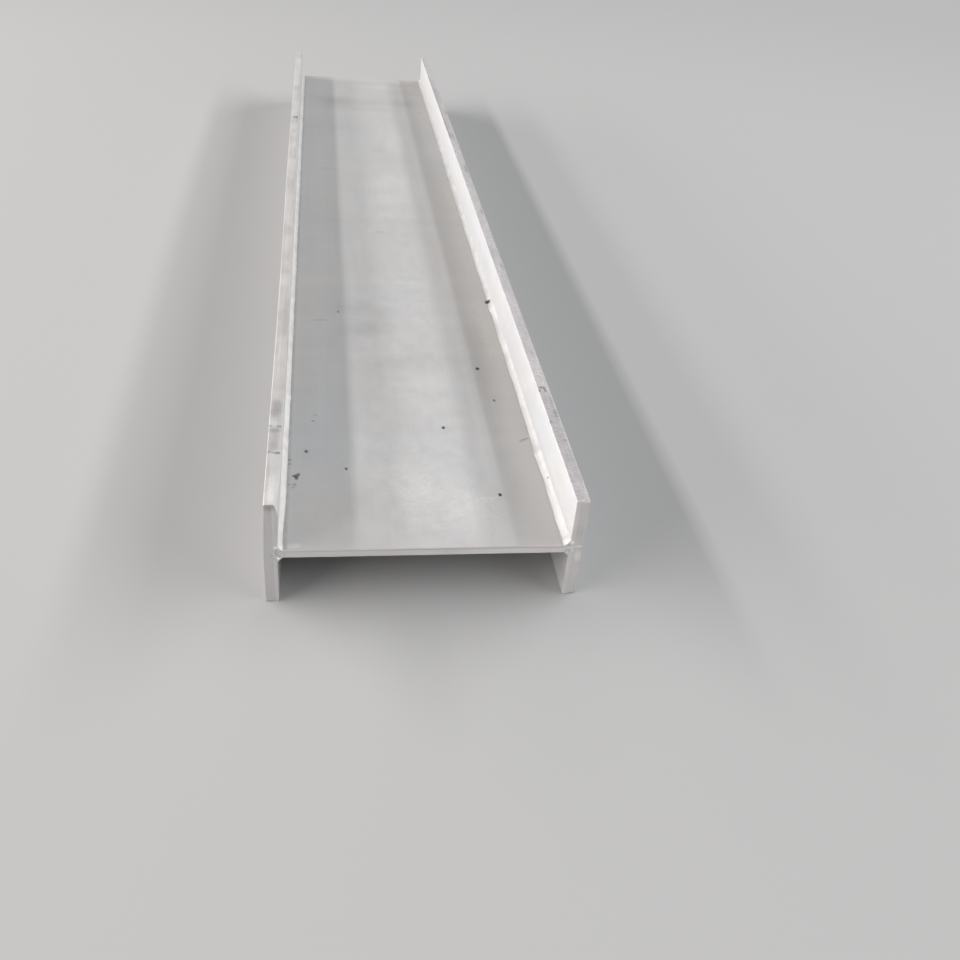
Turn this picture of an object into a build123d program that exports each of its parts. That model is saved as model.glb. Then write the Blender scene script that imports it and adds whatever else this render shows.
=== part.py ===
"""Welded I-beam: one web plate and two flange plates, joined by four fillet weld runs.

The beam lies on the edges of its flanges, with its web level. X runs across the depth of the section,
Y along the beam and Z across the width of the flanges. The origin is the centre of the footprint, on the
plane that the beam lies on. All sizes are in millimetres.
"""

import os

from build123d import *

# Section and length
section_depth = 360.0
flange_width = 136.0
flange_thickness = 16.0
web_thickness = 10.0
beam_length = 2100.0

# Dressed edges of the plates
flange_edge_radius = 1.5
end_deburr = 0.6

# Fillet welds: the leg lies on each plate, the hollow is how far the face dips below the line between its toes
weld_leg = 7.0
weld_hollow = 0.4

# Where the welder stopped and started again, the bead laps over itself in a low swelling
pass_length = 430.0
lap_length = 26.0
lap_rise = 0.9

# At both ends of the beam the bead is built up to fill its crater
end_fill_length = 16.0
end_fill_rise = 1.0

# Length of the first pass of each run, from the -Y end: no two runs were stopped at the same places
first_pass = {
    "upper_left": 330.0,
    "upper_right": 190.0,
    "lower_left": 260.0,
    "lower_right": 400.0,
}

# Sign of X and Z on the side where each name lies
side_sign = {"left": -1, "right": 1}
level_sign = {"upper": 1, "lower": -1}

# Places that the pieces share
flange_inner_x = section_depth / 2 - flange_thickness
flange_centre_x = section_depth / 2 - flange_thickness / 2
web_centre_z = flange_width / 2
end_y = beam_length / 2


def extrude_along_beam(outline):
    """Extrude an outline of the XZ plane from one end of the beam to the other."""
    return extrude(Plane.XZ * outline, amount=end_y, both=True)


def edges_of_both_ends(plate):
    """All edges that lie in the two end planes of a plate."""
    return plate.edges().group_by(Axis.Y)[0] + plate.edges().group_by(Axis.Y)[-1]


def make_flange(side):
    """Flat bar standing on its edge, with rounded long edges and deburred ends."""
    outline = RectangleRounded(flange_thickness, flange_width, flange_edge_radius)
    plate = extrude_along_beam(outline)
    plate = chamfer(edges_of_both_ends(plate), end_deburr)
    return Pos(side_sign[side] * flange_centre_x, 0, web_centre_z) * plate


def make_web():
    """Flat plate that butts against both flanges, with its upper and lower end edges deburred."""
    outline = Rectangle(2 * flange_inner_x, web_thickness)
    plate = extrude_along_beam(outline)
    end_edges = edges_of_both_ends(plate).filter_by(Axis.X)
    plate = chamfer(end_edges, end_deburr)
    return Pos(0, 0, web_centre_z) * plate


def weld_section(side, level, y, leg):
    """Cross-section of a bead at y: two flat legs on the plates and a hollow face between their toes."""
    across = -side_sign[side]
    upward = level_sign[level]
    root = Vector(side_sign[side] * flange_inner_x, y, web_centre_z + upward * web_thickness / 2)
    toe_on_web = root + Vector(across * leg, 0, 0)
    toe_on_flange = root + Vector(0, 0, upward * leg)
    outward = Vector(across, 0, upward).normalized()
    middle = (toe_on_web + toe_on_flange) * 0.5 - outward * weld_hollow
    return make_face(
        [
            Edge.make_line(root, toe_on_web),
            Edge.make_three_point_arc(toe_on_web, middle, toe_on_flange),
            Edge.make_line(toe_on_flange, root),
        ]
    )


def bead_stations(first_length):
    """Places along a run, each with its leg: built up at both ends and swelling at every lap."""
    stations = [
        (-end_y, weld_leg + end_fill_rise),
        (-end_y + end_fill_length / 2, weld_leg + end_fill_rise),
        (-end_y + end_fill_length, weld_leg),
    ]
    lap_y = -end_y + first_length
    while lap_y + lap_length / 2 < end_y - end_fill_length:
        stations.append((lap_y - lap_length / 2, weld_leg))
        stations.append((lap_y, weld_leg + lap_rise))
        stations.append((lap_y + lap_length / 2, weld_leg))
        lap_y += pass_length
    stations.append((end_y - end_fill_length, weld_leg))
    stations.append((end_y - end_fill_length / 2, weld_leg + end_fill_rise))
    stations.append((end_y, weld_leg + end_fill_rise))
    return stations


def make_weld(level, side):
    """One weld run, from end to end of the corner between the web and a flange."""
    stations = bead_stations(first_pass[f"{level}_{side}"])
    sections = [weld_section(side, level, y, leg) for y, leg in stations]
    return loft(sections, ruled=True)


def make_pieces():
    """Every piece of the beam, by name."""
    pieces = {"web_plate": make_web()}
    for side in side_sign:
        pieces[f"flange_{side}"] = make_flange(side)
    for level in level_sign:
        for side in side_sign:
            pieces[f"weld_{level}_{side}"] = make_weld(level, side)
    return pieces


os.makedirs("parts", exist_ok=True)
for name, piece in make_pieces().items():
    export_step(piece, f"parts/{name}.step")
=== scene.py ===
"""Looks of a welded steel I-beam: matt pickled plate, cut ends and rippled weld beads.

Everything is in metres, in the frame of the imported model: X across the section, Y along the beam, Z up.
The near end is the one at -Y, and left and right are -X and +X.
"""

from collections import namedtuple
import math

import bpy
import numpy as np
from mathutils import Matrix, Vector


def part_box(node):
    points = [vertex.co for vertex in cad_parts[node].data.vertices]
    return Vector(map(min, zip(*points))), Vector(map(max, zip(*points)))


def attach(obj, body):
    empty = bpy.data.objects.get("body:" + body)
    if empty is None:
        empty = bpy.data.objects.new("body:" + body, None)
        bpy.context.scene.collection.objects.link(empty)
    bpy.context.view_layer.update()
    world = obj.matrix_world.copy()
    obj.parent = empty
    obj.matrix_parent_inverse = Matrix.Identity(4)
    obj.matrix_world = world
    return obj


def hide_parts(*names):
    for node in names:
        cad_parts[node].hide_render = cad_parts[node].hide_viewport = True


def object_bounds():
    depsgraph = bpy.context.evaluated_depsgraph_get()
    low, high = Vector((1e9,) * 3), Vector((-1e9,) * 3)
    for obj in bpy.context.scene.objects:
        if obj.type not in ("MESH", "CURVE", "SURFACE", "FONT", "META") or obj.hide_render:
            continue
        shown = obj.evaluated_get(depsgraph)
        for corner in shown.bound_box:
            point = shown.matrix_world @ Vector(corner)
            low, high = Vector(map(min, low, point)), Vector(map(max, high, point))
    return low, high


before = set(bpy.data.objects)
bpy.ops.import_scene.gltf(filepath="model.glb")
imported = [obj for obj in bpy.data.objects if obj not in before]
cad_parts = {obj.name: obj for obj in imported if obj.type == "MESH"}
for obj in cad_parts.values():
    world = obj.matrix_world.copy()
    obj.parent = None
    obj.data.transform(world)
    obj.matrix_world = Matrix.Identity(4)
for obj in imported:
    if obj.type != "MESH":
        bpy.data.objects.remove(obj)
cad_low, cad_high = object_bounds()

MM = 0.001

# Places that the shapes, the marks and the lamps are measured from
web_low, web_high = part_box("web_plate")
WEB_BOTTOM = web_low.z
WEB_TOP = web_high.z
WEB_MIDDLE = (WEB_BOTTOM + WEB_TOP) / 2
INNER_FACE = web_high.x
OUTER_FACE = cad_high.x
EDGE_TOP = cad_high.z
EDGE_MIDDLE = (INNER_FACE + OUTER_FACE) / 2
END = cad_high.y
BEAD_LEG = 7.0 * MM

# Mesh lines of the plates: places beside an edge, in radii of it, and spacing along X, Y and Z
EDGE_LINES = np.array([0.0, 0.42, 0.73, 1.0, 2.0, 3.2, 4.6])
FLANGE_STEPS = (2.2 * MM, 3.5 * MM, 8.0 * MM)
WEB_STEPS = (9.0 * MM, 9.0 * MM, 2.0 * MM)

# Edges of the flanges: their radius, which shrinks to the smaller one over this length before each end
EDGE_RADIUS = 1.4 * MM
END_RADIUS = 0.7 * MM
END_TAPER = 6.0 * MM

# The outer corners of the flanges' ends are worn round, within this reach along the beam and from the edges
CORNER_RADIUS = 3.2 * MM
CORNER_REACH = 9.0 * MM
CORNER_HEIGHT = 10.0 * MM

# Edges of the web. Its sides reach into the flanges, so that its slight waves open no gap
WEB_EDGE_RADIUS = 0.6 * MM
WEB_SINK = 0.7 * MM

# The shear has rolled over the upper edges at the ends of the web
ROLL_OVER_LENGTH = 3.5 * MM
ROLL_OVER_DROP = 0.5 * MM

# Slight waves of the plates and rough ends of the web: how far they swing either way, just inside the solid
FLANGE_WAVES = 0.2 * MM
WEB_WAVES = 0.25 * MM
WEB_CUT = 0.3 * MM

# How the long edges of a flange were cut: how uneven their radius is, how far their surface swings either
# way, and how much of the full wear its corners have
Cut = namedtuple("Cut", "unevenness swing wear")
SMOOTH_CUT = Cut(unevenness=0.15, swing=0.12 * MM, wear=0.3)
COARSE_CUT = Cut(unevenness=0.45, swing=0.35 * MM, wear=0.8)

# The inner upper corner of the left flange is ground away at its near end: how long, how deep and how high
GROUND_LENGTH = 48.0 * MM
GROUND_DEPTH = 5.0 * MM
GROUND_HEIGHT = 12.0 * MM

# The weld has pulled the upper half of the left flange inwards by this much at its top, in full up to one
# place along the beam and not at all beyond another
FLANGE_LEAN = 2.6 * MM
LEAN_FULL_TO = -0.45
LEAN_GONE_FROM = 0.10

# Mesh of a bead: rows to a ripple, columns across its face, and how deep its edges lie inside the plates
RIPPLE_ROWS = 5
BEAD_COLUMNS = 9
BEAD_SINK = 0.6 * MM

# Place of each column across the face of a bead, from its toe on the web to its toe on the flange
ACROSS_FACE = np.linspace(0, 1, BEAD_COLUMNS)[None, :]

# Ripples of a bead: pitch, height, drift and bend, the last two in ripples
RIPPLE_PITCH = 2.2 * MM
RIPPLE_HEIGHT = 0.11 * MM
RIPPLE_DRIFT = 0.8
CHEVRON = 1.3

# Face of a bead: how hollow it is, as a share of the leg, and how much that varies
BEAD_HOLLOW = 0.06
HOLLOW_SPREAD = 0.35

# Towards each end of a bead, over this length, its section loses up to this share of its area
BEAD_END = 3.2 * MM
BEAD_END_LOSS = 0.6

# Toes of a bead, as shares of the solid's leg: where they lie, how much of the bead's wander they take, its
# wavelength, and how much they jitter
Toe = namedtuple("Toe", "mean wander wavelength jitter")
WEB_TOE = Toe(mean=0.97, wander=1.0, wavelength=27 * MM, jitter=0.02)
FLANGE_TOE = Toe(mean=0.93, wander=0.4, wavelength=34 * MM, jitter=0.015)
JITTER_WAVELENGTH = 6 * MM

# Where a bead climbs up the flange towards its near end
CLIMB_FROM = -0.930
CLIMB_LENGTH = 0.080

# Where a bead narrows on the web towards its near end
NARROW_FROM = -0.960
NARROW_LENGTH = 0.060

# Most of a noise lies between these values
NOISE_LOW = 0.25
NOISE_HIGH = 0.75

# Share of bare metal in the matt pickled skin, and in the brighter weld metal
PLATE_METALLIC = 0.4
WELD_METALLIC = 0.5

# Roughness of the cut ends
CUT_ROUGHNESS = 0.52

# Colours. A finish with two of them varies between the two
PLATE_GREY = (0.600, 0.603, 0.608, 1)
PLATE_WARM = (0.620, 0.606, 0.596, 1)
ROLLED_EDGE = (0.600, 0.565, 0.565, 1)
COARSE_EDGE_DARK = (0.565, 0.550, 0.560, 1)
COARSE_EDGE_LIGHT = (0.640, 0.605, 0.610, 1)
SMOOTH_EDGE_DARK = (0.622, 0.600, 0.588, 1)
SMOOTH_EDGE_LIGHT = (0.705, 0.682, 0.670, 1)
CUT_PINK = (0.583, 0.560, 0.560, 1)
CUT_GREY = (0.595, 0.591, 0.578, 1)
FUSED_DARK = (0.49, 0.485, 0.48, 1)
FUSED_LIGHT = (0.69, 0.685, 0.68, 1)
WELD_DARK = (0.580, 0.573, 0.568, 1)
WELD_LIGHT = (0.650, 0.650, 0.646, 1)
FLOOR_GREY = (0.52, 0.52, 0.52, 1)

# Tints, as factors of red, green and blue: painted warm light on the right of the web, warm on the left
# beads, cool on the right flange
WEB_LIGHT_TINT = (1.012, 0.995, 0.972)
WELD_TINT = (1.015, 0.992, 0.972)
FLANGE_TINT = (0.985, 1.0, 1.018)

# Even light from all round, and the brightness of the backdrop
AMBIENT = 0.20
BACKDROP = 0.5

# Floor: half of its width, and how far from the beam's middle its fade into the backdrop starts and ends
FLOOR_HALF = 40.0
FADE_START = 1.6
FADE_END = 5.0

# Lamps along both sides of the beam: how far away and how long they are, and the colours of their light
LAMP_DISTANCE = 6.0
LAMP_LENGTH = 14.0
WARM = (1.0, 0.965, 0.945)
COOL = (0.978, 0.988, 1.0)

# Each lamp: name, side, lowest and highest elevation in degrees as seen from the web, radiance and colour
LAMPS = [
    ("left_lamp_low", -1, 8, 16, 6.5, WARM),
    ("left_lamp_middle", -1, 21, 26, 9.5, WARM),
    ("left_lamp_high", -1, 34, 38, 17.5, WARM),
    ("right_lamp_low", 1, 30, 35, 11.7, COOL),
    ("right_lamp_high", 1, 35, 47, 3.2, COOL),
]

# Camera, worked out from the photograph: a pinhole fitted to the corners of the beam
CAMERA_PLACE = Vector((-0.1125, -1.9219, 0.7785))
CAMERA_FORWARD = Vector((0.15295, 0.80859, -0.56814))
CAMERA_UP = Vector((0.0078, 0.5739, 0.81889))
CAMERA_LENS = 37.657
CAMERA_SENSOR = 36.0


# Smooth random numbers, the same in each run

def eased(share):
    """Share from 0 to 1 that starts and ends softly."""
    return share * share * (3 - 2 * share)


def smooth_noise(place, wavelength, seed):
    """Smooth random curve between -1 and 1, with one random height for each wavelength."""
    steps = np.asarray(place) / wavelength
    whole = np.floor(steps).astype(int)
    ease = eased(steps - whole)
    first = whole - whole.min()
    heights = np.random.default_rng(seed).uniform(-1, 1, first.max() + 2)
    return heights[first] * (1 - ease) + heights[first + 1] * ease


def smooth_noise_2d(u, v, wavelength_u, wavelength_v, seed):
    """Smooth random surface between -1 and 1 over two coordinates."""
    steps_u = np.asarray(u) / wavelength_u
    steps_v = np.asarray(v) / wavelength_v
    whole_u = np.floor(steps_u).astype(int)
    whole_v = np.floor(steps_v).astype(int)
    ease_u = eased(steps_u - whole_u)
    ease_v = eased(steps_v - whole_v)
    i = whole_u - whole_u.min()
    j = whole_v - whole_v.min()
    heights = np.random.default_rng(seed).uniform(-1, 1, (i.max() + 2, j.max() + 2))
    near = heights[i, j] * (1 - ease_v) + heights[i, j + 1] * ease_v
    far = heights[i + 1, j] * (1 - ease_v) + heights[i + 1, j + 1] * ease_v
    return near * (1 - ease_u) + far * ease_u


# Meshes

def edge_lines(low, high, radius, step):
    """Lines from low to high, close together over both rounded edges and a step apart between them."""
    near_edge = radius * EDGE_LINES
    inner_low, inner_high = low + near_edge[-1], high - near_edge[-1]
    count = max(int(round((inner_high - inner_low) / step)), 1)
    middle = np.linspace(inner_low, inner_high, count + 1)[1:-1]
    return np.concatenate([low + near_edge, middle, high - near_edge[::-1]])


def box_side(sizes, axis, side):
    """Quads of one side of a box, facing outwards. The lines through a corner make up its number."""
    u, v = [n for n in range(3) if n != axis]
    iu, iv = np.meshgrid(np.arange(sizes[u] - 1), np.arange(sizes[v] - 1), indexing="ij")
    corners = []
    for du, dv in ((0, 0), (1, 0), (1, 1), (0, 1)):
        index = [None] * 3
        index[axis] = np.full_like(iu, side)
        index[u] = iu + du
        index[v] = iv + dv
        corners.append((index[0] * sizes[1] + index[1]) * sizes[2] + index[2])
    quads = np.stack(corners, axis=-1).reshape(-1, 4)
    inward = (side == 0) == (axis != 1)
    return quads[:, ::-1] if inward else quads


def box_surface(xs, ys, zs):
    """Closed surface of a box with these mesh lines: its points, its quads and the axis each quad faces."""
    sizes = (len(xs), len(ys), len(zs))
    quads, facing = [], []
    for axis in range(3):
        for side in (0, sizes[axis] - 1):
            quads.append(box_side(sizes, axis, side))
            facing.append(np.full(len(quads[-1]), axis))
    keys, quads = np.unique(np.concatenate(quads), return_inverse=True)
    i, rest = np.divmod(keys, sizes[1] * sizes[2])
    j, k = np.divmod(rest, sizes[2])
    points = np.stack([xs[i], ys[j], zs[k]], axis=-1)
    return points, quads.reshape(-1, 4), np.concatenate(facing)


def round_edges(points, low, high, radius):
    """Round every edge of a box surface. Returns the points and their outward directions."""
    radius = radius[:, None]
    core = np.clip(points, np.array(low) + radius, np.array(high) - radius)
    away = points - core
    length = np.linalg.norm(away, axis=1, keepdims=True)
    away = away / np.maximum(length, 1e-12)
    return core + away * radius, away


def distance_from_end(along, low, high):
    """Distance of each place along the beam from the nearer end."""
    return np.minimum(along - low.y, high.y - along)


def make_mesh(name, points, faces, face_materials, materials):
    """Mesh object with smooth faces, each with the material of its number."""
    mesh = bpy.data.meshes.new(name)
    mesh.from_pydata(points.tolist(), [], faces)
    for material in materials:
        mesh.materials.append(material)
    mesh.polygons.foreach_set("material_index", np.asarray(face_materials, dtype=np.int32))
    mesh.polygons.foreach_set("use_smooth", np.ones(len(mesh.polygons), dtype=bool))
    mesh.update()
    mesh.validate()
    piece = bpy.data.objects.new(name, mesh)
    bpy.context.scene.collection.objects.link(piece)
    return piece


# Materials

class Finish:
    """Adds nodes to one material and links them, so that a finish reads as a list of steps."""

    def __init__(self, name):
        self.material = bpy.data.materials.new(name)
        self.material.use_nodes = True
        self.tree = self.material.node_tree
        self.surface = self.tree.nodes["Principled BSDF"]
        self.place = self.add("ShaderNodeTexCoord").outputs["Object"]

    def add(self, kind, **settings):
        """New node of this kind with these settings."""
        node = self.tree.nodes.new(kind)
        for key, value in settings.items():
            setattr(node, key, value)
        return node

    def put(self, value, socket):
        """Link an output to a socket, or set the socket to a constant."""
        if isinstance(value, bpy.types.NodeSocket):
            self.tree.links.new(value, socket)
        else:
            socket.default_value = value

    def math(self, operation, a, b=0.0):
        """Result of one operation on two values."""
        node = self.add("ShaderNodeMath", operation=operation)
        self.put(a, node.inputs[0])
        self.put(b, node.inputs[1])
        return node.outputs[0]

    def times(self, a, b):
        """Product of two values."""
        return self.math("MULTIPLY", a, b)

    def along(self, axis):
        """Place along X, Y or Z."""
        node = self.add("ShaderNodeSeparateXYZ")
        self.put(self.place, node.inputs[0])
        return node.outputs[axis]

    def from_middle(self, axis, middle=0.0):
        """Distance from a plane across this axis."""
        return self.math("ABSOLUTE", self.math("SUBTRACT", self.along(axis), middle))

    def noise(self, features_per_metre, detail=2.0, roughness=0.5, seed=0, warp=0.0, slant=0.0):
        """Noise with so many features to the metre along X, Y and Z, turned by the slant about Z."""
        place = self.place
        if slant:
            turn = self.add("ShaderNodeVectorRotate", rotation_type="Z_AXIS")
            self.put(place, turn.inputs["Vector"])
            turn.inputs["Angle"].default_value = slant
            place = turn.outputs[0]
        mapping = self.add("ShaderNodeMapping")
        self.put(place, mapping.inputs["Vector"])
        mapping.inputs["Scale"].default_value = features_per_metre
        mapping.inputs["Location"].default_value = (seed * 3.7, seed * 5.3, seed * 7.1)
        node = self.add("ShaderNodeTexNoise")
        self.put(mapping.outputs[0], node.inputs["Vector"])
        node.inputs["Scale"].default_value = 1.0
        node.inputs["Detail"].default_value = detail
        node.inputs["Roughness"].default_value = roughness
        node.inputs["Distortion"].default_value = warp
        return node.outputs["Fac"]

    def stretch(self, value, low, high, out_low, out_high, form="LINEAR"):
        """Value moved from one range to another, and held at the ends of the new range."""
        node = self.add("ShaderNodeMapRange", interpolation_type=form)
        self.put(value, node.inputs["Value"])
        limits = {"From Min": low, "From Max": high, "To Min": out_low, "To Max": out_high}
        for key, limit in limits.items():
            node.inputs[key].default_value = limit
        return node.outputs["Result"]

    def between(self, value, low, high, out_low=0.0, out_high=1.0):
        """Smooth step from out_low, where the value is at low, to out_high, where it is at high."""
        return self.stretch(value, low, high, out_low, out_high, "SMOOTHSTEP")

    def mix(self, share, a, b):
        """Colour a where the share is 0 and b where it is 1."""
        node = self.add("ShaderNodeMix", data_type="RGBA")
        self.put(share, node.inputs[0])
        self.put(a, node.inputs[6])
        self.put(b, node.inputs[7])
        return node.outputs[2]

    def shade(self, colour, factor):
        """Colour times a factor."""
        node = self.add("ShaderNodeVectorMath", operation="SCALE")
        self.put(colour, node.inputs[0])
        self.put(factor, node.inputs["Scale"])
        return node.outputs[0]

    def ramp(self, colour, value, start, full, factor):
        """Colour times a factor that sets in where the value is at the start and is full further on."""
        return self.shade(colour, self.between(value, start, full, 1.0, factor))

    def darken(self, colour, share):
        """Colour made darker by a share of its brightness."""
        return self.shade(colour, self.math("SUBTRACT", 1.0, share))

    def tint(self, colour, share, factors):
        """Colour times three factors, where the share is 1, and as it was where the share is 0."""
        node = self.add("ShaderNodeVectorMath", operation="MULTIPLY")
        self.put(colour, node.inputs[0])
        self.put(self.mix(share, (1, 1, 1, 1), (*factors, 1)), node.inputs[1])
        return node.outputs[0]

    def vary(self, colour, noise, spread):
        """Colour made darker and lighter by a noise, by the spread either way."""
        return self.shade(colour, self.stretch(noise, NOISE_LOW, NOISE_HIGH, 1 - spread, 1 + spread))

    def centred(self, noise, spread):
        """Noise moved to lie about 0, half of the spread either way."""
        node = self.add("ShaderNodeMath", operation="MULTIPLY_ADD")
        self.put(noise, node.inputs[0])
        node.inputs[1].default_value = spread
        node.inputs[2].default_value = -spread / 2
        return node.outputs[0]

    def spot(self, ragged, place, radii, core, inside=1.0, outside=0.0, mirrored=False):
        """A ragged spot: one value inside its core and another outside its rim.

        Mirrored, it is on both sides of the beam and at both ends.
        """
        here = self.place
        if mirrored:
            folded = self.add("ShaderNodeVectorMath", operation="ABSOLUTE")
            self.put(here, folded.inputs[0])
            here = folded.outputs[0]
        node = self.add("ShaderNodeVectorMath", operation="MULTIPLY_ADD")
        self.put(here, node.inputs[0])
        node.inputs[1].default_value = [1 / r for r in radii]
        node.inputs[2].default_value = [-p / r for p, r in zip(place, radii)]
        length = self.add("ShaderNodeVectorMath", operation="LENGTH")
        self.put(node.outputs[0], length.inputs[0])
        distance = self.math("ADD", length.outputs["Value"], ragged)
        return self.between(distance, 1.0, core, outside, inside)

    def mark(self, colour, ragged, place, radii, darker, core=0.45):
        """Colour with one ragged spot. A spot with a negative darker is lighter than its surroundings."""
        return self.shade(colour, self.spot(ragged, place, radii, core, inside=1.0 - darker, outside=1.0))

    def marks_on_top(self, colour, ragged, marks, height, depth, core):
        """Colour with a list of marks on a level face at this height, all with the same depth."""
        for x, y, radius_x, radius_y, darker in marks:
            place = (x * MM, y * MM, height)
            radii = (radius_x * MM, radius_y * MM, depth)
            colour = self.mark(colour, ragged, place, radii, darker, core)
        return colour

    def bump(self, height, distance, below=None):
        """Relief that rises by this distance where the height is 1, on top of the relief below."""
        node = self.add("ShaderNodeBump")
        self.put(height, node.inputs["Height"])
        node.inputs["Distance"].default_value = distance
        node.inputs["Strength"].default_value = 1.0
        if below is not None:
            self.put(below, node.inputs["Normal"])
        return node.outputs[0]

    def close(self, colour, roughness, metallic, relief):
        """Give the surface its colour, roughness, bare metal and relief. Returns the material."""
        self.put(colour, self.surface.inputs["Base Color"])
        self.put(roughness, self.surface.inputs["Roughness"])
        self.put(metallic, self.surface.inputs["Metallic"])
        self.put(relief, self.surface.inputs["Normal"])
        return self.material


# Small dark grit on the upper side of the web, in mm: place X, place Y, radius X, radius Y, how much darker
WEB_SPECKS = [
    (111, -633, 3.8, 5.6, 0.90), (123, -724, 2.4, 4.2, 0.68), (44, -796, 3, 4.4, 0.88),
    (98, -949, 2.8, 4.6, 0.93), (-89, -450, 2.7, 5.6, 0.45), (-135, -852, 3, 4.8, 0.70),
    (-86, -891, 2.5, 4.2, 0.75), (-124, -764, 4.4, 2.2, 0.24), (-127, -779, 3.6, 2.4, 0.40),
    (152, -823, 4, 1.7, 0.45), (147.5, -826, 4.5, 1.9, 0.48), (143.5, -829.5, 3.6, 1.9, 0.42),
    (-144, -903, 3.6, 4, 0.60), (-149, -906, 3.8, 3.4, 0.50), (-146, -911, 2.6, 5, 0.55),
    (-146.5, -907, 4.4, 5.4, 0.65), (-148, -924, 3.4, 3.8, 0.32), (-154, -924, 3, 3.2, 0.20),
    (-150, -930, 3, 3, 0.22), (-155, -871, 3, 3, 0.35), (-155, -880, 3, 3, 0.30),
]

# Smears on the upper side of the web, and broad soft patches, in the same form
WEB_SMEARS = [
    (-118, -480, 20, 5, 0.16), (-70, -476, 22, 4, 0.07), (-6, -105, 16, 9, 0.12), (14, 395, 26, 24, 0.08),
    (134, 723, 9, 6, 0.35), (48, -405, 16, 6, 0.08), (156, 210, 9, 10, 0.14), (-50, -435, 55, 42, 0.09),
    (-100, 255, 60, 16, 0.05), (25, 735, 130, 36, 0.06), (80, -958, 22, 10, -0.08),
    (-146, -1042, 14, 7, -0.22), (-157, -914, 7, 5, 0.12),
]
WEB_PATCHES = [
    (35, 150, 90, 130, -0.10), (25, -950, 90, 70, -0.07), (-60, 560, 50, 30, 0.03),
    (40, 960, 120, 40, -0.05), (-60, 800, 60, 60, 0.06), (110, 800, 50, 50, 0.07),
    (45, -600, 80, 55, 0.06), (20, 800, 60, 50, 0.05), (25, -700, 62, 420, -0.075),
    (30, -300, 70, 230, -0.05), (130, 60, 40, 420, 0.025), (128, 150, 24, 900, 0.045),
    (20, 70, 60, 60, -0.09), (45, 520, 60, 130, -0.10), (-60, 790, 90, 90, 0.08),
    (75, 800, 45, 70, 0.06), (62, -985, 62, 60, -0.07), (-60, -850, 55, 130, -0.06),
    (118, -600, 32, 230, 0.11), (10, -615, 75, 55, 0.05), (-20, -465, 50, 40, 0.06),
    (90, -850, 22, 200, -0.04), (-95, 800, 60, 75, 0.05), (105, 800, 45, 70, 0.04),
    (-45, -505, 60, 42, 0.12), (-40, -645, 60, 60, 0.05), (-10, -920, 35, 110, -0.06),
    (22, -5, 45, 60, -0.08), (35, 205, 50, 60, -0.06), (52, 420, 36, 80, -0.08),
]

# Painted bands of shade and light along the right side of the web, in mm across it: where each sets in,
# where it is full, its factor
PAINTED_WEB_BANDS = [(99, 108, 0.885), (84, 94, 1.03), (109, 132, 1.085), (138, 150, 0.965)]

# Marks on the upper edges of the flanges, in the form of those on the web
LEFT_EDGE_MARKS = [
    (-169.5, 405, 10, 15, 0.48), (-171.5, 300, 7, 20, 0.10), (-169, -848, 9, 22, 0.22),
    (-170.5, -872, 9, 13, 0.12), (-175.5, -893, 4, 4, 0.35), (-164.5, -894, 6, 4, 0.40),
    (-175.5, -948, 5, 5, 0.30), (-164.5, -951, 7, 4, 0.45), (-168.5, -950, 10, 2, 0.30),
    (-174.5, -700, 4, 30, 0.12), (-169.5, -520, 9, 30, 0.06), (-171, -922, 9, 34, 0.22),
    (-166, -905, 7, 30, 0.05), (-169, 960, 12, 110, -0.07), (-167.5, -1025, 9, 40, -0.27),
    (-171.5, -1036, 8, 26, -0.13), (-169.5, -325, 10, 42, -0.05), (-169.5, -150, 10, 70, 0.05),
    (-169.5, 640, 10, 40, 0.08), (-170, -861, 12, 15, 0.22), (-168, -842, 11, 15, 0.12),
    (-171, -938, 11, 17, 0.17), (-171, -902, 12, 9, 0.28), (-175, -985, 5, 22, 0.14),
]
RIGHT_EDGE_MARKS = [
    (170, -797, 7.5, 3.4, 0.52), (173, -803, 3, 9, 0.50), (165.5, -805, 2.8, 6, 0.50),
    (171, -850, 14, 62, 0.09), (176, -830, 3, 24, 0.15), (164, -881, 4, 6, 0.45),
    (176, -925, 4, 5, 0.20), (174, -700, 7, 30, 0.08), (170, -1040, 12, 12, 0.04),
    (171, -940, 14, 130, 0.12), (166, 205, 5, 10, 0.30), (170, 320, 10, 34, 0.18),
    (165, 640, 5, 480, 0.20), (170, 520, 12, 360, 0.10), (168, -1035, 10, 20, 0.10),
    (176, -865, 5, 30, 0.16), (176, 90, 5, 40, 0.25), (176, -400, 4, 22, 0.25),
    (173, 690, 9, 40, 0.10), (164.5, 390, 5, 190, 0.20), (176.5, -150, 4, 24, 0.24),
    (176.5, 500, 4, 30, 0.28), (176, -862, 4, 12, 0.16),
]

# Marks on the near ends of the flanges, in mm: place X, height, radius X, radius Z, how much darker
FLANGE_END_MARKS = [
    (-165, 77.5, 5.5, 2.6, -0.50), (165.5, 77.5, 5.5, 4, -0.45), (175, 72, 8, 2.2, -0.30),
    (-170, 136, 11, 13, 0.28), (175, 58, 7, 12, -0.22), (174, 30, 6, 26, -0.06),
    (171, 92, 9, 14, 0.07), (-164.5, 104, 3, 22, 0.06), (-172, 131, 12, 4.5, 0.12),
]

# The dark pit at the toe of the upper right bead, colour only, whose dark is painted shade of the hollow and
# which reaches over the web and the bead; a painted highlight and the speck on that bead: place, radii, how
# much darker
PAINTED_PIT_SHADE = ((157.3 * MM, -404.5 * MM, WEB_TOP + 1.5 * MM), (6.0 * MM, 9.0 * MM, 8.0 * MM), 0.94)
BEAD_PAINTED_HIGHLIGHT = ((160 * MM, -394 * MM, WEB_TOP + 3 * MM), (7 * MM, 6 * MM, 5 * MM), -0.15)
BEAD_SPECK = ((163 * MM, -920 * MM, WEB_TOP + 4 * MM), (2.2 * MM, 3 * MM, 2.4 * MM), 0.55)


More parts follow.
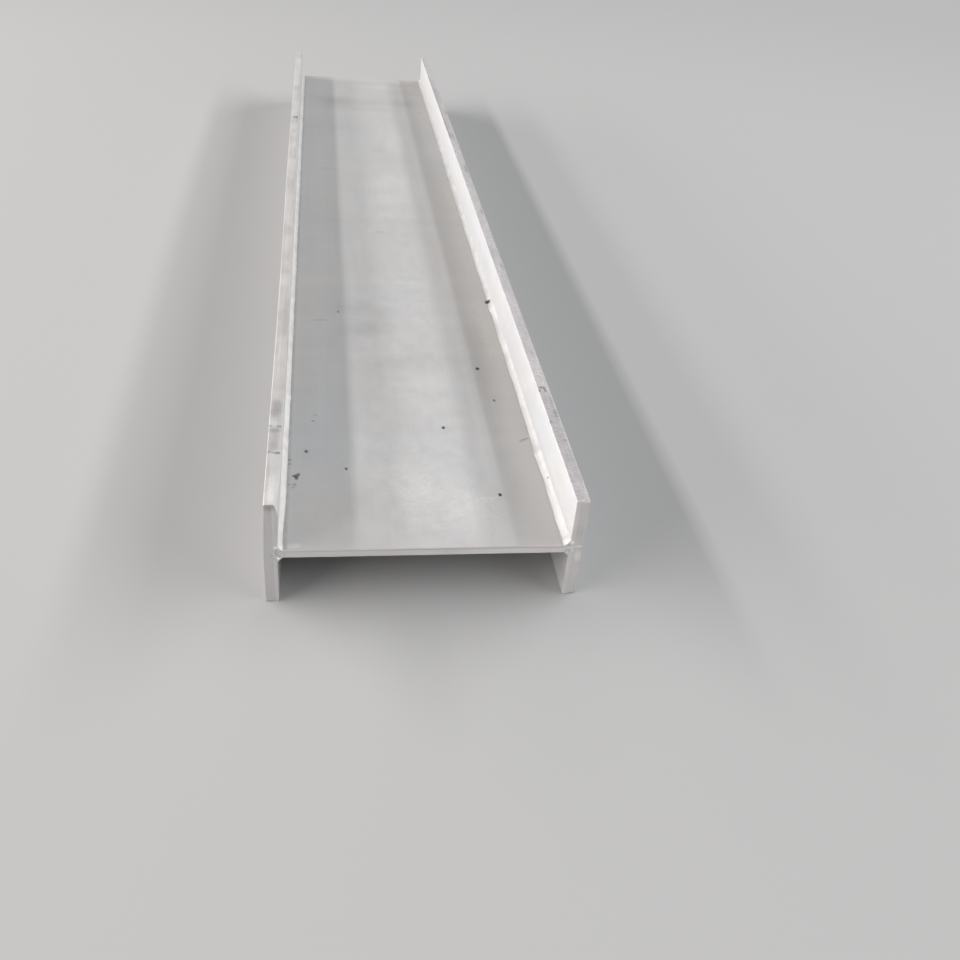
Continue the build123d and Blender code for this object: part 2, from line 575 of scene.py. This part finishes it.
def mark_rims(f):
    """Raggedness of the rims of marks: of smears, and of rounder specks.

    The web and the beads have the same noise, so that a mark that reaches over both has one outline.
    """
    ragged = f.centred(f.noise((230.0, 230.0, 230.0), detail=3.0, seed=7), 0.9)
    return ragged, f.times(ragged, 0.55)


def pickled_plate(name, seed):
    """Start of a plate's finish: matt light grey, cloudy, with faint lines along the rolling direction."""
    f = Finish(name)
    cloud = f.noise((7.0, 3.5, 7.0), detail=3.0, seed=seed + 1)
    warmth = f.noise((8.0, 5.0, 8.0), detail=3.0, seed=seed + 2)
    f.mottle = f.noise((70.0, 55.0, 70.0), detail=4.0, seed=seed + 3)
    rolling = f.noise((240.0, 2.5, 240.0), detail=2.0, seed=seed + 4)
    wiped = f.noise((2.0, 26.0, 14.0), detail=3.0, seed=seed + 5)
    f.grain = f.noise((1300.0, 1300.0, 1300.0), detail=2.0, seed=seed + 6)
    colour = f.mix(f.between(warmth, 0.3, 0.7), PLATE_GREY, PLATE_WARM)
    colour = f.vary(colour, cloud, spread=0.035)
    colour = f.vary(colour, f.mottle, spread=0.02)
    colour = f.vary(colour, rolling, spread=0.012)
    colour = f.vary(colour, wiped, spread=0.022)
    return f, f.vary(colour, f.grain, spread=0.025)


def close_plate(f, colour):
    """Close a plate's finish with its colour, its roughness and its fine relief."""
    roughness = f.between(f.mottle, 0.3, 0.7, 0.50, 0.60)
    relief = f.bump(f.grain, 0.03 * MM, f.bump(f.mottle, 0.15 * MM))
    return f.close(colour, roughness, PLATE_METALLIC, relief)


def web_painted_light(f, colour):
    """Web colour with painted shade towards both flanges, and on the right painted warm light and painted
    bands of shade and light, which are weaker at the near end.
    """
    x = f.along("X")
    # Painted shade towards the right flange
    colour = f.ramp(colour, x, 95 * MM, 150 * MM, factor=0.868)
    # Painted warm light on the right of the web
    colour = f.tint(colour, f.between(x, 95 * MM, 130 * MM), WEB_LIGHT_TINT)
    # Painted shade towards the left flange
    colour = f.ramp(colour, x, -110 * MM, -155 * MM, factor=0.912)
    # Painted bands of shade and light
    band = 1.0
    for start, full, factor in PAINTED_WEB_BANDS:
        band = f.times(band, f.between(x, start * MM, full * MM, 1.0, factor))
    strength = f.between(f.along("Y"), -0.98, -0.86, 0.35, 1.0)
    return f.darken(colour, f.times(strength, f.math("SUBTRACT", 1.0, band)))


def painted_toe_shade_on_web(f):
    """Painted shade in the crease beside the beads: how much the web darkens, more on the left than on the
    right.
    """
    toe = INNER_FACE - BEAD_LEG
    beside_bead = f.between(f.from_middle("X"), toe - 5 * MM, toe)
    mottled = f.between(f.mottle, 0.3, 0.6, 0.10, 0.22)
    to_the_right = f.between(f.along("X"), -0.1, 0.1, 1.0, 0.4)
    return f.times(beside_bead, f.times(mottled, to_the_right))


def web_finish():
    """Web plate, with grit, smears, painted light and shade, painted shade along each bead and rolled-over
    ends.
    """
    f, colour = pickled_plate("pickled_web", 0)
    ragged, rounder = mark_rims(f)
    colour = f.marks_on_top(colour, ragged, WEB_SMEARS + WEB_PATCHES, WEB_TOP, 4 * MM, core=0.0)
    colour = f.marks_on_top(colour, rounder, WEB_SPECKS, WEB_TOP, 4 * MM, core=0.45)
    # The pit is colour only: its dark is painted shade of the hollow
    colour = f.mark(colour, rounder, *PAINTED_PIT_SHADE)
    # Painted shade and light: darker sides and bands along the web
    colour = web_painted_light(f, colour)
    # A lighter strip along the far end
    colour = f.ramp(colour, f.along("Y"), END - 42 * MM, END - 32 * MM, factor=1.06)
    # Painted shade in the crease beside the beads
    colour = f.darken(colour, painted_toe_shade_on_web(f))
    rolled = f.between(f.from_middle("Y"), END - ROLL_OVER_LENGTH, END - ROLL_OVER_LENGTH / 2)
    return close_plate(f, f.mix(rolled, colour, ROLLED_EDGE))


def flange_painted_light(f, colour):
    """Colour with painted light and shade: lighter high up and on the right, darker on the outer faces. Also
    lighter at the near end.
    """
    high_up = f.between(f.along("Z"), WEB_TOP + 10 * MM, EDGE_TOP, 1.08, 1.20)
    far_end = f.between(f.along("Y"), 0.2, END, 1.0, 0.94)
    colour = f.shade(colour, f.times(high_up, far_end))
    colour = f.ramp(colour, f.from_middle("X"), EDGE_MIDDLE, OUTER_FACE - MM, factor=0.80)
    to_the_right = f.between(f.along("X"), -INNER_FACE, INNER_FACE)
    colour = f.shade(colour, f.between(to_the_right, 0, 1, 0.87, 1.0))
    colour = f.tint(colour, to_the_right, FLANGE_TINT)
    return f.ramp(colour, f.along("Y"), -0.75, -END, factor=1.05)


def painted_toe_shade_on_flange(f):
    """Painted shade in the crease beside the beads: how much darker the inner faces of the flanges are
    there.
    """
    toe = WEB_TOP - WEB_MIDDLE + BEAD_LEG
    beside_bead = f.between(f.from_middle("Z", WEB_MIDDLE), toe + 4 * MM, toe)
    inner_face = f.between(f.from_middle("X"), EDGE_MIDDLE, EDGE_MIDDLE - 4 * MM, 0.0, 0.04)
    return f.times(beside_bead, inner_face)


def flange_finish():
    """Faces of the flanges, with painted light and shade, soft stains and painted shade along each bead."""
    f, colour = pickled_plate("pickled_flange", 50)
    # Painted light and shade on the flanges
    colour = flange_painted_light(f, colour)
    stains = f.noise((10.0, 5.0, 22.0), detail=4.0, seed=57, warp=0.6)
    colour = f.ramp(colour, stains, 0.60, 0.78, factor=0.93)
    streaks = f.noise((40.0, 3.0, 60.0), detail=3.0, roughness=0.6, seed=58)
    colour = f.vary(colour, streaks, spread=0.035)
    # Painted shade in the crease beside the beads
    return close_plate(f, f.darken(colour, painted_toe_shade_on_flange(f)))


def smooth_cut(f, stain):
    """Colour of a smooth cut, darker towards the inner side of the left flange."""
    colour = f.mix(f.between(stain, 0.32, 0.6), SMOOTH_EDGE_DARK, SMOOTH_EDGE_LIGHT)
    return f.shade(colour, f.between(f.along("X"), -171 * MM, -165 * MM, 0.99, 0.91))


def coarse_cut(f, flecks):
    """Colour of a coarse cut: patches, slanting streaks and flecks."""
    streaks = f.noise((150.0, 620.0, 150.0), detail=3.0, roughness=0.6, seed=14, slant=math.radians(32))
    patches = f.noise((60.0, 16.0, 60.0), detail=3.0, seed=15)
    colour = f.mix(f.between(patches, 0.35, 0.62), COARSE_EDGE_DARK, COARSE_EDGE_LIGHT)
    colour = f.vary(colour, streaks, spread=0.20)
    return f.vary(colour, flecks, spread=0.12)


def edge_finish(name, coarse):
    """Long edges of a flange: fine lines along them, and on the right flange a coarse cut."""
    f = Finish(name)
    lines = f.noise((700.0, 6.0, 700.0), detail=2.0, seed=11)
    flecks = f.noise((420.0, 260.0, 420.0), detail=5.0, roughness=0.7, seed=12)
    stain = f.noise((30.0, 14.0, 30.0), detail=3.0, seed=13)
    colour = coarse_cut(f, flecks) if coarse else smooth_cut(f, stain)
    colour = f.vary(colour, lines, spread=0.06)
    colour = f.vary(colour, stain, spread=0.05)
    marks = RIGHT_EDGE_MARKS if coarse else LEFT_EDGE_MARKS
    colour = f.marks_on_top(colour, f.centred(flecks, 0.9), marks, EDGE_TOP, 6 * MM, core=0.25)
    roughness = f.between(flecks, 0.3, 0.7, 0.45, 0.58)
    fleck_relief = 0.15 * MM if coarse else 0.05 * MM
    relief = f.bump(flecks, fleck_relief, f.bump(lines, 0.05 * MM))
    return f.close(colour, roughness, PLATE_METALLIC, relief)


def cut_end(name, lines_per_metre):
    """Start of a cut end's finish: darker and warmer than the plate, with lines that follow the cut."""
    f = Finish(name)
    f.lines = f.noise(lines_per_metre, detail=2.0, seed=21)
    patches = f.noise((40.0, 40.0, 28.0), detail=3.0, seed=22)
    f.grain = f.noise((800.0, 800.0, 800.0), detail=3.0, seed=23)
    colour = f.mix(f.between(patches, 0.35, 0.65), CUT_PINK, CUT_GREY)
    colour = f.vary(colour, f.lines, spread=0.045)
    return f, f.vary(colour, f.grain, spread=0.05)


def close_cut_end(f, colour):
    """Close a cut end's finish with its colour, its roughness and its fine relief."""
    relief = f.bump(f.grain, 0.05 * MM, f.bump(f.lines, 0.06 * MM))
    return f.close(colour, CUT_ROUGHNESS, PLATE_METALLIC, relief)


def fused_corner(f, colour):
    """Colour of a cut end with a mottle, lighter on the right, where the weld has fused web and flange."""
    blotches = f.noise((330.0, 330.0, 330.0), detail=4.0, roughness=0.6, seed=24)
    mottled = f.mix(f.between(blotches, 0.36, 0.62), FUSED_DARK, FUSED_LIGHT)
    mottled = f.ramp(mottled, f.along("X"), -EDGE_MIDDLE, EDGE_MIDDLE, factor=1.22)
    place, radii = (INNER_FACE, END, WEB_MIDDLE), (9 * MM, 6 * MM, 10 * MM)
    fused = f.spot(f.centred(blotches, 0.7), place, radii, core=0.55, mirrored=True)
    return f.mix(fused, colour, mottled)


def flange_end_finish():
    """End of a flange: upright lines, a lighter strip on the inner side and the listed marks.

    Some of the marks are weld metal, smeared on beside the bead.
    """
    f, colour = cut_end("flange_end", (560.0, 1.0, 20.0))
    colour = f.ramp(colour, f.from_middle("X"), INNER_FACE + 5.5 * MM, INNER_FACE + 4 * MM, factor=1.10)
    colour = f.ramp(colour, f.along("X"), -EDGE_MIDDLE, EDGE_MIDDLE, factor=1.12)
    colour = fused_corner(f, colour)
    ragged = f.centred(f.grain, 0.9)
    for x, z, radius_x, radius_z, darker in FLANGE_END_MARKS:
        place, radii = (x * MM, -END, z * MM), (radius_x * MM, 5 * MM, radius_z * MM)
        colour = f.mark(colour, ragged, place, radii, darker, core=0.2)
    return close_cut_end(f, colour)


def web_end_finish():
    """End of the web: lines along the plate, the pinkish rolled-over edge on top, lighter to the right."""
    f, colour = cut_end("web_end", (20.0, 1.0, 620.0))
    upper = f.between(f.along("Z"), WEB_TOP - 3.2 * MM, WEB_TOP - 2 * MM)
    colour = f.shade(colour, f.between(f.along("X"), -INNER_FACE, INNER_FACE, 1.15, 1.35))
    colour = f.mix(upper, colour, ROLLED_EDGE)
    return close_cut_end(f, fused_corner(f, colour))


def weld_painted_light(f, colour):
    """Painted light and shade on weld metal: brighter high on its face and on the left, dark right at the
    ends.

    Towards the near end the right beads are duller and the left ones brighter.
    """
    face_low = WEB_TOP - WEB_MIDDLE
    face_high = face_low + 0.6 * BEAD_LEG
    colour = f.shade(colour, f.between(f.from_middle("Z", WEB_MIDDLE), face_low, face_high, 0.87, 1.02))
    colour = f.shade(colour, f.between(f.along("X"), -INNER_FACE, INNER_FACE, 1.07, 0.99))
    colour = f.tint(colour, f.between(f.along("X"), INNER_FACE, -INNER_FACE), WELD_TINT)
    place, radii = (INNER_FACE, -END, WEB_TOP), (50 * MM, 560 * MM, 50 * MM)
    near_right = f.spot(0.0, place, radii, core=0.25, inside=0.89, outside=1.0)
    place, radii = (-INNER_FACE, -END, WEB_TOP), (50 * MM, 90 * MM, 50 * MM)
    near_left = f.spot(0.0, place, radii, core=0.3, inside=1.17, outside=1.0)
    colour = f.shade(colour, f.times(near_right, near_left))
    return f.ramp(colour, f.from_middle("Y"), END - 4 * MM, END - 1 * MM, factor=0.86)


def weld_finish():
    """Pickled weld metal: silvery, with the painted shade of a pit, a painted highlight and a speck on the
    upper right bead.
    """
    f = Finish("weld_metal")
    patches = f.noise((60.0, 45.0, 60.0), detail=3.0, seed=31)
    grain = f.noise((800.0, 1100.0, 800.0), detail=2.0, seed=32)
    colour = f.mix(f.between(patches, 0.3, 0.7), WELD_DARK, WELD_LIGHT)
    # Painted light and shade on the weld metal
    colour = weld_painted_light(f, colour)
    colour = f.vary(colour, grain, spread=0.04)
    ragged, rounder = mark_rims(f)
    # A painted highlight, and the painted shade of the pit
    colour = f.mark(colour, ragged, *BEAD_PAINTED_HIGHLIGHT)
    colour = f.mark(colour, rounder, *PAINTED_PIT_SHADE)
    colour = f.mark(colour, rounder, *BEAD_SPECK)
    roughness = f.between(patches, 0.3, 0.7, 0.42, 0.52)
    return f.close(colour, roughness, WELD_METALLIC, f.bump(grain, 0.02 * MM))


def weld_end_finish():
    """Weld metal cut and ground at the ends of the beam: mottled grey."""
    f, colour = cut_end("weld_end", (300.0, 300.0, 300.0))
    colour = f.shade(colour, f.between(f.along("X"), -EDGE_MIDDLE, EDGE_MIDDLE, 1.1, 1.35))
    return close_cut_end(f, f.vary(colour, f.lines, spread=0.12))


WEB_FACE = web_finish()
FLANGE_FACE = flange_finish()
SMOOTH_EDGE = edge_finish("smooth_flange_edge", coarse=False)
COARSE_EDGE = edge_finish("coarse_flange_edge", coarse=True)
FLANGE_END = flange_end_finish()
WEB_END = web_end_finish()
WELD = weld_finish()
WELD_END = weld_end_finish()


# The plates

def flange_radius(points, from_end, cut, seed):
    """Radius of a flange's edges at each point: uneven, small at the ends and large at the worn corners."""
    along = points[:, 1]
    waviness = 0.6 * smooth_noise(along, 16 * MM, seed) + 0.4 * smooth_noise(along, 7 * MM, seed + 1)
    radius = EDGE_RADIUS * (0.9 + cut.unevenness * waviness)
    radius = END_RADIUS + (radius - END_RADIUS) * np.clip(from_end / END_TAPER, 0, 1)
    outer_half = np.abs(points[:, 0]) > EDGE_MIDDLE
    by_an_edge = np.abs(points[:, 2] - WEB_MIDDLE) > EDGE_TOP - WEB_MIDDLE - CORNER_HEIGHT
    worn = np.clip(1 - from_end / CORNER_REACH, 0, 1) * (outer_half & by_an_edge)
    return radius + (CORNER_RADIUS - END_RADIUS) * worn * worn * cut.wear


def flange_relief(points, along, outward, cut, seed):
    """How far each point of a flange moves outwards: slight waves on the faces, a rough cut on the edges."""
    x, z = points[:, 0], points[:, 2]
    waves = FLANGE_WAVES * (smooth_noise_2d(along, z, 180 * MM, 60 * MM, seed + 2) - 1)
    fine = smooth_noise_2d(along, x + z, 9 * MM, 5 * MM, seed + 3)
    broad = smooth_noise_2d(along, x + z, 30 * MM, 40 * MM, seed + 4)
    rough = cut.swing * (fine * 0.6 + broad * 0.4 - 1)
    return waves * np.abs(outward[:, 0]) + rough * np.abs(outward[:, 2])


def grind_corner(points, along, near_end):
    """Grind away the inner upper corner of a flange at its near end."""
    share = np.clip(1 - (along - near_end) / GROUND_LENGTH, 0, 1) ** 1.5
    share = share * np.clip((points[:, 2] - EDGE_TOP + GROUND_HEIGHT) / GROUND_HEIGHT, 0, 1)
    from_outer = OUTER_FACE - np.abs(points[:, 0])
    points[:, 0] += np.sign(points[:, 0]) * from_outer * share * GROUND_DEPTH / (OUTER_FACE - INNER_FACE)


def lean_inwards(points, along, lean):
    """Lean the upper half of a flange inwards, by the lean at its top, along the near part of the beam."""
    share = eased(np.clip((LEAN_GONE_FROM - along) / (LEAN_GONE_FROM - LEAN_FULL_TO), 0, 1))
    share = share * np.clip((points[:, 2] - WEB_MIDDLE) / (EDGE_TOP - WEB_MIDDLE), 0, 1)
    points[:, 0] -= np.sign(points[:, 0]) * lean * share


def make_flange(node, edge_material, cut, seed, lean=0.0, ground=False):
    """Flange plate with rounded, uneven edges. It can lean inwards and have a corner ground away."""
    low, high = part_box(node)
    xs, ys, zs = [edge_lines(low[n], high[n], EDGE_RADIUS, FLANGE_STEPS[n]) for n in range(3)]
    points, quads, facing = box_surface(xs, ys, zs)
    # Where each point lies along the beam, before the edges are rounded
    along = points[:, 1]
    radius = flange_radius(points, distance_from_end(along, low, high), cut, seed)
    points, outward = round_edges(points, low, high, radius)
    points = points + outward * flange_relief(points, along, outward, cut, seed)[:, None]
    if ground:
        grind_corner(points, along, low.y)
    lean_inwards(points, along, lean)
    materials = [FLANGE_FACE, edge_material, FLANGE_END]
    material_by_axis = np.array([0, 2, 1])
    return make_mesh(node + "_steel", points, quads.tolist(), material_by_axis[facing], materials)


def web_relief(points, outward, seed):
    """How far each point of the web moves outwards: slight waves on the faces, a rough cut on the ends."""
    waves = WEB_WAVES * (smooth_noise_2d(points[:, 1], points[:, 0], 260 * MM, 110 * MM, seed) - 1)
    rough = WEB_CUT * (smooth_noise(points[:, 0], 12 * MM, seed + 1) - 1)
    return waves * np.abs(outward[:, 2]) + rough * np.abs(outward[:, 1])


def make_web(node, seed):
    """Web plate, a little wavy, with rough cut ends and upper edges rolled over by the shear."""
    low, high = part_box(node)
    low.x -= WEB_SINK
    high.x += WEB_SINK
    xs, ys, zs = [edge_lines(low[n], high[n], WEB_EDGE_RADIUS, WEB_STEPS[n]) for n in range(3)]
    # More mesh lines where the ends are rolled over
    rolled = np.array([0.5, 0.75, 1.0]) * ROLL_OVER_LENGTH
    ys = np.unique(np.concatenate([ys, low.y + rolled, high.y - rolled]))
    points, quads, facing = box_surface(xs, ys, zs)
    points, outward = round_edges(points, low, high, np.full(len(points), WEB_EDGE_RADIUS))
    points = points + outward * web_relief(points, outward, seed)[:, None]
    from_end = distance_from_end(points[:, 1], low, high)
    drop = ROLL_OVER_DROP * np.clip(1 - from_end / ROLL_OVER_LENGTH, 0, 1) ** 2
    points[:, 2] -= drop * (points[:, 2] > high.z - 2 * WEB_EDGE_RADIUS)
    material_by_axis = np.array([0, 1, 0])
    return make_mesh(node + "_steel", points, quads.tolist(), material_by_axis[facing], [WEB_FACE, WEB_END])


# The weld beads

def leg_profile(node, root_x):
    """Leg of the solid bead along Y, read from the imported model: the places and the leg at each."""
    corners = np.array([v.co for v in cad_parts[node].data.vertices])
    places = np.unique(np.round(corners[:, 1], 6))
    legs = [np.abs(corners[np.isclose(corners[:, 1], y, atol=1e-5), 0] - root_x).max() for y in places]
    return places, np.array(legs)


def toe_share(rows, toe, wander, seed):
    """Where a toe lies at each row, as a share of the leg of the solid."""
    slow = toe.wander * wander * smooth_noise(rows, toe.wavelength, seed)
    fine = toe.jitter * smooth_noise(rows, JITTER_WAVELENGTH, seed + 1)
    return toe.mean + slow + fine


def bead_legs(rows, leg, wander, climb, narrow, seed):
    """Legs of a bead on the web and on the flange at each row."""
    on_web = leg * toe_share(rows, WEB_TOE, wander, seed)
    on_web = on_web * (1 - narrow * np.clip((NARROW_FROM - rows) / NARROW_LENGTH, 0, 1))
    on_flange = leg * toe_share(rows, FLANGE_TOE, wander, seed + 2)
    on_flange = on_flange * (1 + climb * np.clip((CLIMB_FROM - rows) / CLIMB_LENGTH, 0, 1))
    return on_web, on_flange


def bead_lift(rows, leg, travel, seed):
    """How far a bead's face lies outside the line between its toes: it is hollow, with bent ripples."""
    dome = 4 * ACROSS_FACE * (1 - ACROSS_FACE)
    drift = RIPPLE_DRIFT * smooth_noise(rows, 11 * MM, seed + 5)
    phase = travel * rows[:, None] / RIPPLE_PITCH + drift[:, None] + CHEVRON * dome
    ripple = RIPPLE_HEIGHT * (0.5 * np.cos(2 * np.pi * phase) - 0.5) * np.sqrt(dome)
    hollow = leg * BEAD_HOLLOW * (1 + HOLLOW_SPREAD * smooth_noise(rows, 40 * MM, seed + 4))
    return ripple - hollow[:, None] * dome


def end_scale(rows, low, high):
    """Scale of a bead's section at each row, smaller towards both ends."""
    turn = np.clip(1 - distance_from_end(rows, low, high) / BEAD_END, 0, 1)
    return np.sqrt(1 - BEAD_END_LOSS * turn * turn)


def bead_sections(legs, lift, scale):
    """Distances of a bead's surface from its root, across the web and up the flange, row by row.

    The columns run over the face from the toe on the web to the toe on the flange, and the last is the root.
    """
    on_web, on_flange = legs
    across_web = scale[:, None] * (on_web[:, None] * (1 - ACROSS_FACE) + lift / math.sqrt(2))
    up_flange = scale[:, None] * (on_flange[:, None] * ACROSS_FACE + lift / math.sqrt(2))
    across_web[:, -1] = -BEAD_SINK
    up_flange[:, 0] = -BEAD_SINK
    root = np.full((len(scale), 1), -BEAD_SINK)
    return np.concatenate([across_web, root], axis=1), np.concatenate([up_flange, root], axis=1)


def tube_faces(row_count, columns, flipped):
    """Faces of a closed tube: the quads between its rows, and then one cap at each end."""
    i, j = np.meshgrid(np.arange(row_count - 1), np.arange(columns), indexing="ij")
    next_j = (j + 1) % columns
    corners = [i * columns + j, (i + 1) * columns + j, (i + 1) * columns + next_j, i * columns + next_j]
    quads = np.stack(corners, axis=-1).reshape(-1, 4).tolist()
    first = list(range(columns))
    last = [(row_count - 1) * columns + n for n in first]
    faces = quads + [first, last[::-1]]
    return [face[::-1] for face in faces] if flipped else faces


def crease_toes(mesh, columns):
    """Keep the shading of a bead's face apart from that of its hidden legs, along both toes."""
    ends = np.empty(2 * len(mesh.edges), dtype=np.int32)
    mesh.edges.foreach_get("vertices", ends)
    column = ends.reshape(-1, 2) % columns
    same = column[:, 0] == column[:, 1]
    toe = same & ((column[:, 0] == 0) | (column[:, 0] == BEAD_COLUMNS - 1))
    sharp = mesh.attributes.new("sharp_edge", "BOOLEAN", "EDGE")
    sharp.data.foreach_set("value", toe)


def make_bead(node, travel, seed, wander, climb=0.0, narrow=0.0):
    """Weld bead with ripples, laps between its passes and filled ends, welded along Y or, at -1, against it.

    Its toes wander by a share of the leg. Towards the near end it can climb up the flange and narrow on the
    web, by shares of the leg.
    """
    low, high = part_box(node)
    side = 1 if low.x > 0 else -1
    level = 1 if low.z > WEB_MIDDLE else -1
    root_x = side * INNER_FACE
    root_z = WEB_TOP if level > 0 else WEB_BOTTOM

    rows = np.linspace(low.y, high.y, int((high.y - low.y) * RIPPLE_ROWS / RIPPLE_PITCH))
    leg = np.interp(rows, *leg_profile(node, root_x))
    legs = bead_legs(rows, leg, wander, climb, narrow, seed)
    lift = bead_lift(rows, leg, travel, seed)
    across_web, up_flange = bead_sections(legs, lift, end_scale(rows, low, high))

    columns = across_web.shape[1]
    x = root_x - side * across_web
    y = np.repeat(rows[:, None], columns, axis=1)
    z = root_z + level * up_flange
    points = np.stack([x, y, z], axis=-1).reshape(-1, 3)
    faces = tube_faces(len(rows), columns, flipped=side * level > 0)
    face_materials = np.zeros(len(faces))
    face_materials[-2:] = 1
    piece = make_mesh(node + "_bead", points, faces, face_materials, [WELD, WELD_END])
    crease_toes(piece.data, columns)
    return piece


pieces = {
    "web_plate": make_web("web_plate", seed=100),
    "flange_left": make_flange("flange_left", SMOOTH_EDGE, SMOOTH_CUT, 200, lean=FLANGE_LEAN, ground=True),
    "flange_right": make_flange("flange_right", COARSE_EDGE, COARSE_CUT, 300),
    "weld_upper_left": make_bead("weld_upper_left", travel=1, seed=401, wander=0.03, narrow=0.22),
    "weld_upper_right": make_bead("weld_upper_right", travel=-1, seed=502, wander=0.11, climb=0.2),
    "weld_lower_left": make_bead("weld_lower_left", travel=-1, seed=604, wander=0.08),
    "weld_lower_right": make_bead("weld_lower_right", travel=1, seed=705, wander=0.08),
}
for node, piece in pieces.items():
    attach(piece, "root")
    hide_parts(node)


# Floor, light and camera

def backdrop_rays(tree):
    """One for the rays of the camera, metal and glass, and zero for the rays that carry the light."""
    path = tree.nodes.new("ShaderNodeLightPath")
    seen = path.outputs["Is Camera Ray"]
    for ray in ("Is Glossy Ray", "Is Transmission Ray"):
        either = tree.nodes.new("ShaderNodeMath")
        either.operation = "MAXIMUM"
        tree.links.new(seen, either.inputs[0])
        tree.links.new(path.outputs[ray], either.inputs[1])
        seen = either.outputs[0]
    return seen


def floor_finish():
    """Plain pale floor. Camera, metal and glass see it fade into the backdrop with distance."""
    f = Finish("pale_floor")
    from_beam = f.add("ShaderNodeVectorMath", operation="LENGTH")
    f.put(f.place, from_beam.inputs[0])
    far = f.between(from_beam.outputs["Value"], FADE_START, FADE_END)
    faded = f.times(far, backdrop_rays(f.tree))
    backdrop = f.add("ShaderNodeEmission")
    backdrop.inputs["Strength"].default_value = BACKDROP
    blend = f.add("ShaderNodeMixShader")
    f.put(faded, blend.inputs[0])
    f.put(f.surface.outputs[0], blend.inputs[1])
    f.put(backdrop.outputs[0], blend.inputs[2])
    f.put(blend.outputs[0], f.tree.nodes["Material Output"].inputs["Surface"])
    f.surface.inputs["Base Color"].default_value = FLOOR_GREY
    f.surface.inputs["Roughness"].default_value = 0.9
    f.surface.inputs["Specular IOR Level"].default_value = 0.1
    return f.material


def make_floor():
    """Floor under the beam, a flat square."""
    half = FLOOR_HALF
    mesh = bpy.data.meshes.new("floor")
    corners = [(-half, -half, 0), (half, -half, 0), (half, half, 0), (-half, half, 0)]
    mesh.from_pydata(corners, [], [(0, 1, 2, 3)])
    mesh.materials.append(floor_finish())
    floor = bpy.data.objects.new("floor", mesh)
    bpy.context.scene.collection.objects.link(floor)


def make_lamp(name, place, target, size_across, size_up, radiance, colour):
    """Rectangular lamp at a place, facing the target. Its power gives the wanted radiance."""
    data = bpy.data.lights.new(name, "AREA")
    data.color = colour
    data.shape = "RECTANGLE"
    data.size = size_across
    data.size_y = size_up
    data.energy = radiance * math.pi * size_across * size_up
    lamp = bpy.data.objects.new(name, data)
    lamp.location = place
    facing = Vector(target) - Vector(place)
    lamp.rotation_mode = "QUATERNION"
    lamp.rotation_quaternion = facing.to_track_quat("-Z", "Y")
    lamp.visible_camera = False
    bpy.context.scene.collection.objects.link(lamp)


def height_at(elevation_degrees):
    """Height of a point seen from the web at this elevation, at the lamps' distance."""
    return WEB_TOP + LAMP_DISTANCE * math.tan(math.radians(elevation_degrees))


def make_side_lamp(name, side, low_degrees, high_degrees, radiance, colour):
    """Long upright lamp along one side of the beam, between two elevations as seen from the web."""
    low, high = height_at(low_degrees), height_at(high_degrees)
    middle = (low + high) / 2
    place, target = (side * LAMP_DISTANCE, 0, middle), (0, 0, middle)
    make_lamp(name, place, target, LAMP_LENGTH, high - low, radiance, colour)


def make_world():
    """Even light from all round. Camera, metal and glass see a pale backdrop instead."""
    world = bpy.data.worlds.new("surroundings")
    world.use_nodes = True
    tree = world.node_tree
    strength = tree.nodes.new("ShaderNodeMapRange")
    tree.links.new(backdrop_rays(tree), strength.inputs["Value"])
    strength.inputs["To Min"].default_value = AMBIENT
    strength.inputs["To Max"].default_value = BACKDROP
    background = tree.nodes["Background"]
    background.inputs["Color"].default_value = (1, 1, 1, 1)
    tree.links.new(strength.outputs["Result"], background.inputs["Strength"])
    bpy.context.scene.world = world


def make_camera():
    """Camera at the photograph's viewpoint."""
    data = bpy.data.cameras.new("camera")
    data.lens = CAMERA_LENS
    data.sensor_width = CAMERA_SENSOR
    data.clip_start = 0.01
    data.clip_end = 200.0
    camera = bpy.data.objects.new("camera", data)
    bpy.context.scene.collection.objects.link(camera)
    forward = CAMERA_FORWARD.normalized()
    right = forward.cross(CAMERA_UP).normalized()
    up = right.cross(forward)
    turn = Matrix((right, up, -forward)).transposed()
    camera.matrix_world = Matrix.Translation(CAMERA_PLACE) @ turn.to_4x4()
    bpy.context.scene.camera = camera


make_floor()
make_world()
for lamp in LAMPS:
    make_side_lamp(*lamp)
make_camera()
bpy.context.scene.view_settings.view_transform = "Standard"
